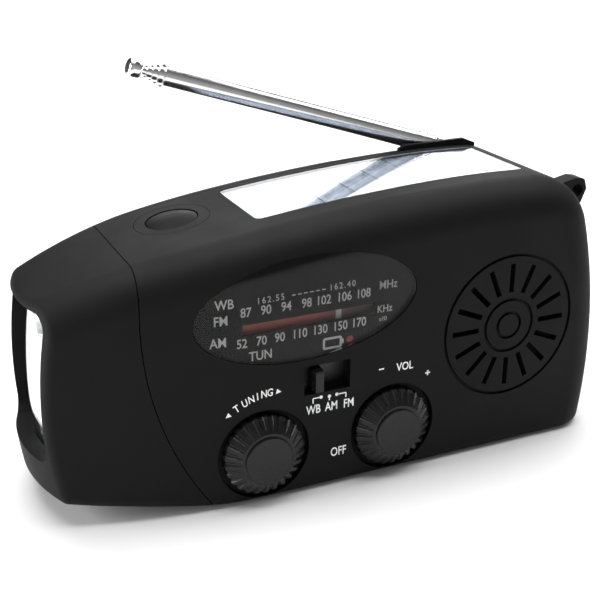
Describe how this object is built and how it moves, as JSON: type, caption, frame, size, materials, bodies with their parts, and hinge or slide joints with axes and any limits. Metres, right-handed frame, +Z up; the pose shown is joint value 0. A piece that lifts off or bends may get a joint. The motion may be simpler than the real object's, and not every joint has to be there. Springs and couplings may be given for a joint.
{
  "type": "emergency radio",
  "caption": "Compact hand-crank emergency radio with oval dial, two fluted knobs, round grille, lamp window at one end, solar panel on top and folding telescopic antenna.",
  "frame": {"origin": "centre of the base between the ends' reference lines and midway front to rear, on the surface the radio stands on", "axes": "+X towards the loudspeaker end, -Y out of the dial face, +Z up"},
  "size_m": [0.1316, 0.0556, 0.0856],
  "materials": {
    "casing": "matte soft-touch black",
    "knob_plastic": "satin black",
    "button_rubber": "matte black",
    "cover_rubber": "matte black",
    "lamp_lens": "clear",
    "dial_lens": "smoked clear",
    "solar_cover": "clear gloss over pale blue",
    "reflector_chrome": "bright",
    "led_resin": "clear",
    "indicator_red": "clear red",
    "dial_black": "printed black",
    "dial_red": "orange red",
    "pointer_white": "white",
    "solar_cell": "dark blue",
    "board_green": "solder mask",
    "switch_black": "moulded",
    "switch_metal": "stamped",
    "gear_white": "moulded acetal",
    "steel": "turned",
    "speaker_paper": "pressed paper",
    "magnet_ferrite": "dark ferrite",
    "battery_wrap": "shrink wrap",
    "holder_plastic": "moulded",
    "stator_steel": "zinc plated",
    "antenna_chrome": "polished"
  },
  "bodies": {
    "case": {"antenna_coil": "switch_black", "band_switch": "switch_black", "battery": "battery_wrap", "battery_holder": "holder_plastic", "board_screws": "steel", "button_bezel": "casing", "button_board": "board_green", "button_switch": "switch_black", "case_screws": "steel", "cover_pin": "steel", "dial_lens": "dial_lens", "dial_plate": "dial_black", "dial_strip": "dial_red", "dynamo_stator": "stator_steel", "ferrite_rod": "magnet_ferrite", "front_case": "casing", "gear_plate": "steel", "indicator_led": "indicator_red", "lamp_head": "casing", "lamp_leds": "led_resin", "lamp_lens": "lamp_lens", "led_board": "board_green", "main_board": "board_green", "micro_usb_socket": "switch_metal", "port_board": "board_green", "rear_case": "casing", "reflector": "reflector_chrome", "solar_cells": "solar_cell", "solar_cover": "solar_cover", "speaker_cone": "speaker_paper", "speaker_frame": "switch_metal", "speaker_magnet": "magnet_ferrite", "tuning_capacitor": "switch_black", "usb_socket": "switch_metal", "volume_pot": "switch_metal"},
    "tuning": {"tuning_knob": "knob_plastic", "tuning_shaft": "steel"},
    "capacitor_rotor": {"capacitor_gear": "gear_white"},
    "pointer": {"tuning_pointer": "pointer_white"},
    "volume": {"volume_knob": "knob_plastic", "volume_shaft": "steel"},
    "band_selector": {"band_slider": "knob_plastic"},
    "button": {"lamp_button": "button_rubber"},
    "crank": {"crank_arm": "knob_plastic", "crank_gear": "gear_white", "knob_pin": "steel"},
    "knob_fold": {"knob_post": "steel"},
    "knob_grip": {"crank_knob": "knob_plastic"},
    "idler": {"idler_gear": "gear_white"},
    "rotor": {"dynamo_rotor": "steel", "rotor_magnet": "magnet_ferrite"},
    "cover": {"port_cover": "cover_rubber"},
    "antenna_head": {"antenna_swivel": "antenna_chrome", "antenna_pin": "steel"},
    "antenna_rod": {"antenna_knuckle": "antenna_chrome", "antenna_tube_1": "antenna_chrome"},
    "antenna_stage_2": {"antenna_tube_2": "antenna_chrome"},
    "antenna_stage_3": {"antenna_tube_3": "antenna_chrome"},
    "antenna_stage_4": {"antenna_tube_4": "antenna_chrome"},
    "antenna_end": {"antenna_tip": "antenna_chrome"}
  },
  "joints": [
    {"name": "tuning_turn", "type": "hinge", "parent": "case", "child": "tuning", "pos_m": [-0.0206, -0.022, 0.0111], "axis": [0, 1, 0], "range_deg": [-393.43, 133.69]},
    {"name": "pointer_slide", "type": "slide", "parent": "case", "child": "pointer", "axis": [1, 0, 0], "range_m": [-0.0207, 0.0071]},
    {"name": "capacitor_turn", "type": "hinge", "parent": "case", "child": "capacitor_rotor", "pos_m": [-0.01089, -0.014, 0.01815], "axis": [0, 1, 0], "range_deg": [-45.06, 131.64]},
    {"name": "volume_turn", "type": "hinge", "parent": "case", "child": "volume", "pos_m": [0.009, -0.022, 0.0111], "axis": [0, 1, 0], "range_deg": [0, 300]},
    {"name": "band_slide", "type": "slide", "parent": "case", "child": "band_selector", "axis": [1, 0, 0], "range_m": [0, 0.0048]},
    {"name": "button_press", "type": "slide", "parent": "case", "child": "button", "axis": [0.1478, 0, -0.989], "range_m": [0, 0.0012], "stiffness_N_per_m": 400},
    {"name": "crank_turn", "type": "hinge", "parent": "case", "child": "crank", "pos_m": [-0.012, 0.024, 0.03], "axis": [0, 1, 0], "continuous": true},
    {"name": "knob_unfold", "type": "hinge", "parent": "crank", "child": "knob_fold", "pos_m": [0.033, 0.0249, 0.03], "axis": [0, 0, -1], "range_deg": [0, 90]},
    {"name": "knob_spin", "type": "hinge", "parent": "knob_fold", "child": "knob_grip", "pos_m": [0.02, 0.0266, 0.03], "axis": [1, 0, 0], "continuous": true},
    {"name": "idler_turn", "type": "hinge", "parent": "case", "child": "idler", "pos_m": [0.00491, 0.016, 0.03616], "axis": [0, 1, 0], "continuous": true},
    {"name": "rotor_turn", "type": "hinge", "parent": "case", "child": "rotor", "pos_m": [0.01791, 0.01, 0.02866], "axis": [0, 1, 0], "continuous": true},
    {"name": "cover_open", "type": "hinge", "parent": "case", "child": "cover", "pos_m": [0.046, 0.0215, 0.0072], "axis": [-1, 0, 0], "range_deg": [0, 100]},
    {"name": "antenna_swing", "type": "hinge", "parent": "case", "child": "antenna_head", "pos_m": [0.0435, 0.0185, 0.055], "axis": [0, 0, -1], "range_deg": [0, 135]},
    {"name": "antenna_tilt", "type": "hinge", "parent": "antenna_head", "child": "antenna_rod", "pos_m": [0.0435, 0.0185, 0.05935], "axis": [0, 1, 0], "range_deg": [-22.1, 75]},
    {"name": "antenna_pull_2", "type": "slide", "parent": "antenna_rod", "child": "antenna_stage_2", "axis": [-0.9532, 0, 0.3024], "range_m": [0, 0.058]},
    {"name": "antenna_pull_3", "type": "slide", "parent": "antenna_stage_2", "child": "antenna_stage_3", "axis": [-0.9532, 0, 0.3024], "range_m": [0, 0.058]},
    {"name": "antenna_pull_4", "type": "slide", "parent": "antenna_stage_3", "child": "antenna_stage_4", "axis": [-0.9532, 0, 0.3024], "range_m": [0, 0.058]},
    {"name": "antenna_pull_5", "type": "slide", "parent": "antenna_stage_4", "child": "antenna_end", "axis": [-0.9532, 0, 0.3024], "range_m": [0, 0.058]}
  ],
  "couplings": [
    {"joint": "pointer_slide", "follows": "tuning_turn", "m_per_rad": 0.003},
    {"joint": "capacitor_turn", "follows": "tuning_turn", "ratio": -0.33333},
    {"joint": "idler_turn", "follows": "crank_turn", "ratio": -5},
    {"joint": "rotor_turn", "follows": "crank_turn", "ratio": 20}
  ]
}
